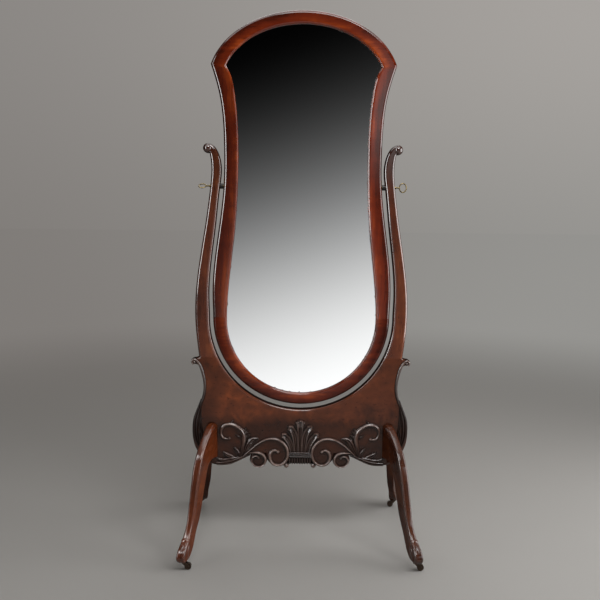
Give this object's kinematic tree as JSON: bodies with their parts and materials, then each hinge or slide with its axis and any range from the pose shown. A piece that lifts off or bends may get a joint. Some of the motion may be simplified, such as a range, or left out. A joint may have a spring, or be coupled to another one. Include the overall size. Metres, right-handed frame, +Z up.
{
  "type": "cheval floor mirror",
  "caption": "Free-standing cheval mirror: shaped mahogany frame that tilts between scrolled uprights on a carved apron with splayed cabriole legs and swivel casters.",
  "frame": {"origin": "on the floor under the middle of the stand", "axes": "+Z up, front of the mirror towards -Y, +X to the right seen from the front"},
  "size_m": [0.81, 0.6224, 1.83],
  "materials": {
    "frame_wood": "polished red-brown mahogany",
    "stand_wood": "polished dark mahogany",
    "leg_wood": "polished mahogany, lighter",
    "carved_wood": "worn polish, dark in the recesses",
    "dowel_wood": "plain",
    "back_wood": "plain, unpolished",
    "mirror": "silvered plate",
    "brass": "dull, tarnished",
    "spacer_metal": "dark",
    "screw_steel": "plain",
    "caster_iron": "dark, worn",
    "caster_wheel": "dark, worn"
  },
  "bodies": {
    "stand": {"apron": "stand_wood", "back_left_caster_socket": "caster_iron", "back_left_leg": "leg_wood", "back_right_caster_socket": "caster_iron", "back_right_leg": "leg_wood", "caster_plate_screws": "screw_steel", "front_left_caster_socket": "caster_iron", "front_left_leg": "leg_wood", "front_right_caster_socket": "caster_iron", "front_right_leg": "leg_wood", "left_pivot_bush": "brass", "left_scroll_carving": "carved_wood", "left_spacer": "spacer_metal", "left_upright": "stand_wood", "leg_dowels": "dowel_wood", "palmette_carving": "carved_wood", "right_pivot_bush": "brass", "right_scroll_carving": "carved_wood", "right_spacer": "spacer_metal", "right_upright": "stand_wood", "upright_dowels": "dowel_wood"},
    "mirror": {"frame_top_rail": "frame_wood", "frame_bottom_rail": "frame_wood", "frame_left_stile": "frame_wood", "frame_right_stile": "frame_wood", "frame_dowels": "dowel_wood", "mirror_glass": "mirror", "glass_retainer": "back_wood", "backboard": "back_wood", "backboard_screws": "screw_steel", "left_nut_plate": "brass", "right_nut_plate": "brass", "nut_plate_screws": "screw_steel"},
    "left_screw": {"left_thumbscrew": "brass", "left_screw_washer": "brass"},
    "right_screw": {"right_thumbscrew": "brass", "right_screw_washer": "brass"},
    "front_left_caster": {"front_left_caster_fork": "caster_iron", "front_left_caster_axle": "caster_iron"},
    "front_left_wheel": {"front_left_caster_wheel": "caster_wheel"},
    "front_right_caster": {"front_right_caster_fork": "caster_iron", "front_right_caster_axle": "caster_iron"},
    "front_right_wheel": {"front_right_caster_wheel": "caster_wheel"},
    "back_left_caster": {"back_left_caster_fork": "caster_iron", "back_left_caster_axle": "caster_iron"},
    "back_left_wheel": {"back_left_caster_wheel": "caster_wheel"},
    "back_right_caster": {"back_right_caster_fork": "caster_iron", "back_right_caster_axle": "caster_iron"},
    "back_right_wheel": {"back_right_caster_wheel": "caster_wheel"}
  },
  "joints": [
    {"name": "mirror_tilt", "type": "hinge", "parent": "stand", "child": "mirror", "pos_m": [0, 0, 1.245], "axis": [1, 0, 0], "range_deg": [-160, 160]},
    {"name": "left_screw_turn", "type": "hinge", "parent": "stand", "child": "left_screw", "pos_m": [-0.34, 0, 1.245], "axis": [-1, 0, 0], "range_deg": [0, 450]},
    {"name": "right_screw_turn", "type": "hinge", "parent": "stand", "child": "right_screw", "pos_m": [0.34, 0, 1.245], "axis": [1, 0, 0], "range_deg": [0, 450]},
    {"name": "front_left_swivel", "type": "hinge", "parent": "stand", "child": "front_left_caster", "pos_m": [-0.37901, -0.2748, 0.0302], "axis": [0, 0, 1], "continuous": true},
    {"name": "front_left_roll", "type": "hinge", "parent": "front_left_caster", "child": "front_left_wheel", "pos_m": [-0.36401, -0.2748, 0.011], "axis": [0, 1, 0], "continuous": true},
    {"name": "front_right_swivel", "type": "hinge", "parent": "stand", "child": "front_right_caster", "pos_m": [0.37901, -0.2748, 0.0302], "axis": [0, 0, 1], "continuous": true},
    {"name": "front_right_roll", "type": "hinge", "parent": "front_right_caster", "child": "front_right_wheel", "pos_m": [0.39401, -0.2748, 0.011], "axis": [0, 1, 0], "continuous": true},
    {"name": "back_left_swivel", "type": "hinge", "parent": "stand", "child": "back_left_caster", "pos_m": [-0.37901, 0.2748, 0.0302], "axis": [0, 0, 1], "continuous": true},
    {"name": "back_left_roll", "type": "hinge", "parent": "back_left_caster", "child": "back_left_wheel", "pos_m": [-0.39401, 0.2748, 0.011], "axis": [0, -1, 0], "continuous": true},
    {"name": "back_right_swivel", "type": "hinge", "parent": "stand", "child": "back_right_caster", "pos_m": [0.37901, 0.2748, 0.0302], "axis": [0, 0, 1], "continuous": true},
    {"name": "back_right_roll", "type": "hinge", "parent": "back_right_caster", "child": "back_right_wheel", "pos_m": [0.36401, 0.2748, 0.011], "axis": [0, -1, 0], "continuous": true}
  ]
}
